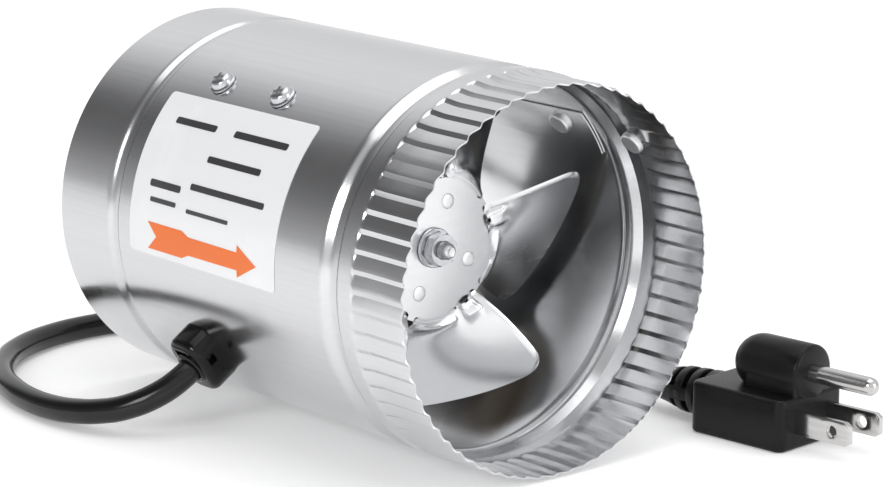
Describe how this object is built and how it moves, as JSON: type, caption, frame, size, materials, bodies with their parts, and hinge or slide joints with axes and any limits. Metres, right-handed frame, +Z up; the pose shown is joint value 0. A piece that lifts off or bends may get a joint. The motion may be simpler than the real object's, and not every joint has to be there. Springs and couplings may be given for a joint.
{
  "type": "inline duct fan",
  "caption": "Inline duct fan: a beaded, crimped galvanised tube around a small motor and an axial aluminium impeller, with a coiled black mains cord and plug.",
  "frame": {"origin": "on the ground under the middle of the tube, which lies on its side", "axes": "+X along the fan axis, the way the air goes, to the crimped outlet; +Z up"},
  "size_m": [0.2356, 0.2232, 0.1016],
  "materials": {
    "cast_aluminium": "as cast",
    "bronze": "sintered, oiled",
    "zinc_plated": "zinc plated, satin",
    "galvanised_steel": "galvanised, fine rolling streaks",
    "nylon": "natural, matte",
    "coil_tape": "varnished tape",
    "black_pvc": "black, semi-gloss",
    "black_nylon": "black, glossy",
    "sheet_aluminium": "bright rolled",
    "paper_label": "printed film, semi-gloss",
    "green_pvc": "green, satin",
    "white_pvc": "white, satin",
    "nickel": "nickel plated",
    "copper": "bare, dull",
    "ground_steel": "ground bright",
    "electrical_steel": "varnished laminations"
  },
  "bodies": {
    "housing": {"bearing_bracket_front": "cast_aluminium", "bearing_bracket_rear": "cast_aluminium", "bearing_front": "bronze", "bearing_rear": "bronze", "bracket_nut_front": "zinc_plated", "bracket_nut_rear": "zinc_plated", "bracket_screw_front": "zinc_plated", "bracket_screw_rear": "zinc_plated", "casing": "galvanised_steel", "coil_bobbin": "nylon", "coil_winding": "coil_tape", "cord_coil": "black_pvc", "cord_far": "black_pvc", "cord_gland": "black_nylon", "cord_inner_end": "black_pvc", "cord_near": "black_pvc", "earth_screw": "zinc_plated", "gland_lock": "black_nylon", "label": "paper_label", "lead_earth": "green_pvc", "lead_live": "black_pvc", "lead_neutral": "white_pvc", "motor_strap": "zinc_plated", "plug_blade_far": "nickel", "plug_blade_near": "nickel", "plug_body": "black_pvc", "plug_ground_pin": "nickel", "plug_strain_relief": "black_pvc", "seam_rivet_1": "zinc_plated", "seam_rivet_2": "zinc_plated", "seam_rivet_3": "zinc_plated", "seam_rivet_4": "zinc_plated", "seam_rivet_5": "zinc_plated", "shading_ring_left": "copper", "shading_ring_right": "copper", "spacer_front_left": "zinc_plated", "spacer_front_right": "zinc_plated", "spacer_rear_left": "zinc_plated", "spacer_rear_right": "zinc_plated", "splice_cap_live": "nylon", "splice_cap_neutral": "nylon", "stator_core": "electrical_steel", "tie_nut_left": "zinc_plated", "tie_nut_right": "zinc_plated", "tie_screw_left": "zinc_plated", "tie_screw_right": "zinc_plated"},
    "turning": {"hub_collar": "cast_aluminium", "hub_rivet_1": "zinc_plated", "hub_rivet_2": "zinc_plated", "hub_rivet_3": "zinc_plated", "hub_rivet_4": "zinc_plated", "impeller": "sheet_aluminium", "impeller_nut": "zinc_plated", "impeller_washer": "zinc_plated", "rotor": "cast_aluminium", "shaft": "ground_steel", "thrust_washer_front": "nylon", "thrust_washer_rear": "nylon"}
  },
  "joints": [
    {"name": "fan_spin", "type": "hinge", "parent": "housing", "child": "turning", "pos_m": [0, 0, 0.0508], "axis": [1, 0, 0], "continuous": true}
  ]
}
